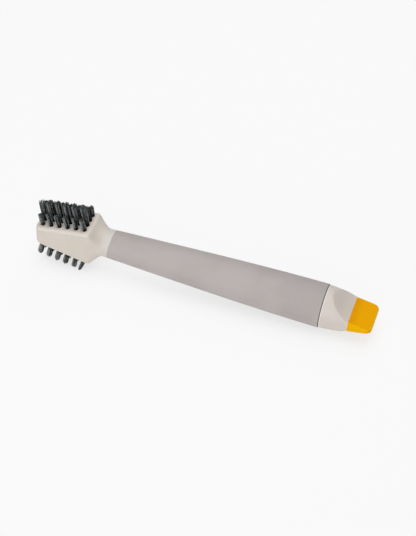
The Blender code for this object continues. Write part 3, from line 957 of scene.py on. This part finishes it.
def plant(side, side_margin, word, draw):
    """Grow the tufts of one face one by one, and keep them above the table."""
    for row, column, place in tuft_places(side, side_margin):
        name = f"{word}_tuft_row{row + 1}_column{column + 1}"
        length, lean, manner = growth(side, row, column, place)
        tuft = grow_tuft(draw, filament_paths(draw, length, lean, **manner))
        bmesh.ops.transform(tuft, matrix=tuft_frame(place, side), verts=tuft.verts)
        bundle = finish_piece(f"bristles_{name}", tuft, NYLON, [name], TUFT_SHARP)
        for point in bundle.data.vertices:
            point.co.x = max(point.co.x, cad_low.x)
            point.co.z = min(max(point.co.z, TABLE_SKIN), cad_high.z)
        yield bundle


draw = random.Random(5)
tufts = list(plant(1, UPPER_SIDE_MARGIN, "upper", draw)) + list(plant(-1, LOWER_SIDE_MARGIN, "lower", draw))
compare_box(tufts[0], "upper_tuft_row1_column1")
print("tufts:", len(tufts), "faces each:", len(tufts[0].data.polygons))

# %% [markdown]
# ## The white table
# The brush lies on a white table under large soft lamps. A table that is lit to pure white would need
# so much light that the ivory plastic clips. So the camera sees the table mostly as plain white, and
# the brush is lit by the true table only. Close to the brush, where the sky is covered, more of the true
# surface shows. There the shadow is deep, and it fades out within a finger's breadth or two.

# %% Rays that look at the scene
WHITE = (1.0, 1.0, 1.0, 1.0)


def looking_rays(finish):
    """1 for rays of the camera, of mirrors and of glass, and 0 for rays that only carry light."""
    seen, mirrored, through_glass = [
        finish.node("ShaderNodeLightPath", output=f"Is {kind} Ray")
        for kind in ("Camera", "Glossy", "Transmission")
    ]
    return seen.larger(mirrored).larger(through_glass)


# %% Finish of the table
TABLE_STRENGTH = 0.957
SHADOW_REACH = 0.016


def white_table():
    finish = Finish("white_table")
    seen = looking_rays(finish)
    plain = finish.node("ShaderNodeEmission", None, {"Color": WHITE, "Strength": TABLE_STRENGTH})
    matt = finish.node("ShaderNodeBsdfDiffuse", None, {"Color": linear(246, 246, 246)})
    open_sky = finish.node("ShaderNodeAmbientOcclusion", {"samples": 32}, {"Distance": SHADOW_REACH}, "AO")
    both = finish.node("ShaderNodeMixShader", None, {0: seen * (0.64 + 0.29 * open_sky), 1: matt, 2: plain})
    finish.tree.nodes.remove(finish.shader)
    finish.feed(finish.tree.nodes["Material Output"].inputs["Surface"], both)
    return finish.material


# %% Table
TABLE_DROP = 0.0001
TABLE_REACH = 2.0
table_shape = bmesh.new()
bmesh.ops.create_grid(table_shape, x_segments=1, y_segments=1, size=TABLE_REACH)
table_mesh = bpy.data.meshes.new("table")
table_shape.to_mesh(table_mesh)
table_shape.free()
table_mesh.materials.append(white_table())
table = bpy.data.objects.new("table", table_mesh)
table.location = (0.0, 0.0, -TABLE_DROP)
bpy.context.scene.collection.objects.link(table)
print("table:", [round(side, 2) for side in table.dimensions], "m")

# %% [markdown]
# ## The sky
# The world gives a weak, even light from all sides, which keeps the shadows soft. Rays that look at it
# see plain white instead, so the horizon runs into the table without a line.

# %% Sky
SKY_LIGHT = 0.19
SKY_STRENGTH = 0.95


class Sky(Finish):
    """The nodes of a world, built with the same methods as a material's."""

    def __init__(self, world):
        world.use_nodes = True
        self.tree = world.node_tree


world = bpy.data.worlds.new("studio")
bpy.context.scene.world = world
sky = Sky(world)
light = sky.node("ShaderNodeBackground", None, {"Color": WHITE, "Strength": SKY_LIGHT})
white = sky.node("ShaderNodeBackground", None, {"Color": WHITE, "Strength": SKY_STRENGTH})
choice = sky.node("ShaderNodeMixShader", None, {0: looking_rays(sky), 1: light, 2: white})
sky.feed(sky.tree.nodes["World Output"].inputs["Surface"], choice)
sky.tree.nodes.remove(sky.tree.nodes["Background"])
print("sky has", len(sky.tree.nodes), "nodes")

# %% [markdown]
# ## Lamps
# Four wide area lamps stand far from the brush, so that no highlight has a hard edge. The ceiling lamp
# and the front lamp do most of the work. The lamps behind and on the left open up the shaded sides.

# %% Soft lamps
LAMP_WIDTH = 0.7
LAMP_AIM = Vector((0.0, 0.0, 0.02))
LAMPS = (
    ("left_lamp", (-0.55, -0.80, 0.45), 1.9),
    ("front_lamp", (0.0, -1.0, 0.35), 4.0),
    ("ceiling_lamp", (0.0, 0.0, 1.10), 5.3),
    ("back_lamp", (0.0, 0.70, 0.80), 2.7),
)
for name, place, power in LAMPS:
    lamp = bpy.data.objects.new(name, bpy.data.lights.new(name, "AREA"))
    lamp.data.energy = power
    lamp.data.size = LAMP_WIDTH
    lamp.location = place
    lamp.rotation_euler = (LAMP_AIM - Vector(place)).to_track_quat("-Z", "Y").to_euler()
    bpy.context.scene.collection.objects.link(lamp)
print("lamps:", len(LAMPS))

# %% [markdown]
# ## Camera
# The two round seams of the handle look like ellipses in a photograph. Their shape, and the outline
# between them, tell where the camera stood. The viewpoint is written in the brush's own axes, as three
# directions, a point on the handle and a distance, and it is laid down with the brush.

# %% Camera at the photograph's viewpoint
RIGHT = Vector((0.9448, 0.3229, 0.0556)).normalized()
BACK = Vector((0.1786, -0.6500, 0.7387)).normalized()
UP = BACK.cross(RIGHT).normalized()
RIGHT = UP.cross(BACK)
AIM = Vector((0.06317, 0.0, 0.0))
DISTANCE = 0.8659
STEP_LEFT = 0.004011
STEP_UP = 0.003451
FOCAL_PIXELS = 1511.2
IMAGE_HEIGHT_PIXELS = 536
SENSOR_WIDTH = 36.0
stand = Matrix((RIGHT, UP, BACK)).transposed().to_4x4()
stand.translation = AIM + DISTANCE * BACK - STEP_LEFT * RIGHT + STEP_UP * UP
camera = bpy.data.objects.new("camera", bpy.data.cameras.new("camera"))
camera.data.sensor_fit = "AUTO"
camera.data.sensor_width = SENSOR_WIDTH
camera.data.lens = FOCAL_PIXELS / IMAGE_HEIGHT_PIXELS * SENSOR_WIDTH
camera.data.clip_start = 0.01
camera.matrix_world = LAY_DOWN @ stand
bpy.context.scene.collection.objects.link(camera)
bpy.context.scene.camera = camera
bpy.context.scene.view_settings.view_transform = "Standard"
print("camera at, m:", [round(value, 3) for value in camera.matrix_world.translation])
